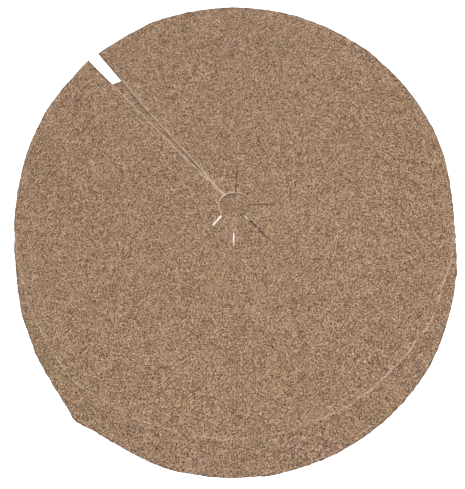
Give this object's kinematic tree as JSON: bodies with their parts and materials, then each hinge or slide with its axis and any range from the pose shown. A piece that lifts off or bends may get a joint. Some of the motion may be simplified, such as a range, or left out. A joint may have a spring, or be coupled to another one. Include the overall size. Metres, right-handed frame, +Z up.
{
  "type": "tree mat",
  "caption": "Round coir felt tree mats lying one on the other, each with a trunk hole, short relief slits and a long entry slit to the rim.",
  "frame": {"origin": "on the ground under the middle of the pair's bounding box", "axes": "+Z up through the mats' thickness; +Y away from the viewer, along the offset of the two mats"},
  "size_m": [0.6, 0.649, 0.01],
  "materials": {
    "upper_coir": "needled coir felt, matte, mottled light brown",
    "lower_coir": "needled coir felt, matte, mottled light brown"
  },
  "bodies": {
    "lower_mat": {"lower_mat": "lower_coir"},
    "upper_mat": {"upper_field": "upper_coir"},
    "left_wing": {"upper_wing_left": "upper_coir"},
    "right_wing": {"upper_wing_right": "upper_coir"},
    "tab_1": {"upper_tab_1": "upper_coir"},
    "tab_2": {"upper_tab_2": "upper_coir"},
    "tab_3": {"upper_tab_3": "upper_coir"},
    "tab_4": {"upper_tab_4": "upper_coir"},
    "tab_5": {"upper_tab_5": "upper_coir"},
    "tab_6": {"upper_tab_6": "upper_coir"},
    "tab_7": {"upper_tab_7": "upper_coir"},
    "tab_8": {"upper_tab_8": "upper_coir"}
  },
  "joints": [
    {"name": "upper_mat_lift", "type": "slide", "parent": "lower_mat", "child": "upper_mat", "axis": [0, 0, 1], "range_m": [0, 0.15]},
    {"name": "left_wing_fold", "type": "hinge", "parent": "upper_mat", "child": "left_wing", "pos_m": [-0.05405, 0.08348, 0.01], "axis": [0.7373, 0.6756, 0], "range_deg": [0, 80]},
    {"name": "right_wing_fold", "type": "hinge", "parent": "upper_mat", "child": "right_wing", "pos_m": [-0.05405, 0.08348, 0.01], "axis": [0.7373, 0.6756, 0], "range_deg": [0, 80]},
    {"name": "tab_1_fold", "type": "hinge", "parent": "upper_mat", "child": "tab_1", "pos_m": [-0.04169, 0.04394, 0.01], "axis": [-0.4226, -0.9063, 0], "range_deg": [0, 75]},
    {"name": "tab_2_fold", "type": "hinge", "parent": "upper_mat", "child": "tab_2", "pos_m": [-0.04323, 0.00877, 0.01], "axis": [0.342, -0.9397, 0], "range_deg": [0, 75]},
    {"name": "tab_3_fold", "type": "hinge", "parent": "upper_mat", "child": "tab_3", "pos_m": [-0.01944, -0.01719, 0.01], "axis": [0.9063, -0.4226, 0], "range_deg": [0, 75]},
    {"name": "tab_4_fold", "type": "hinge", "parent": "upper_mat", "child": "tab_4", "pos_m": [0.01573, -0.01873, 0.01], "axis": [0.9397, 0.342, 0], "range_deg": [0, 75]},
    {"name": "tab_5_fold", "type": "hinge", "parent": "upper_mat", "child": "tab_5", "pos_m": [0.04169, 0.00506, 0.01], "axis": [0.4226, 0.9063, 0], "range_deg": [0, 75]},
    {"name": "tab_6_fold", "type": "hinge", "parent": "upper_mat", "child": "tab_6", "pos_m": [0.04323, 0.04023, 0.01], "axis": [-0.342, 0.9397, 0], "range_deg": [0, 75]},
    {"name": "tab_7_fold", "type": "hinge", "parent": "upper_mat", "child": "tab_7", "pos_m": [0.01944, 0.06619, 0.01], "axis": [-0.9063, 0.4226, 0], "range_deg": [0, 75]},
    {"name": "tab_8_fold", "type": "hinge", "parent": "upper_mat", "child": "tab_8", "pos_m": [-0.01573, 0.06773, 0.01], "axis": [-0.9397, -0.342, 0], "range_deg": [0, 75]}
  ]
}
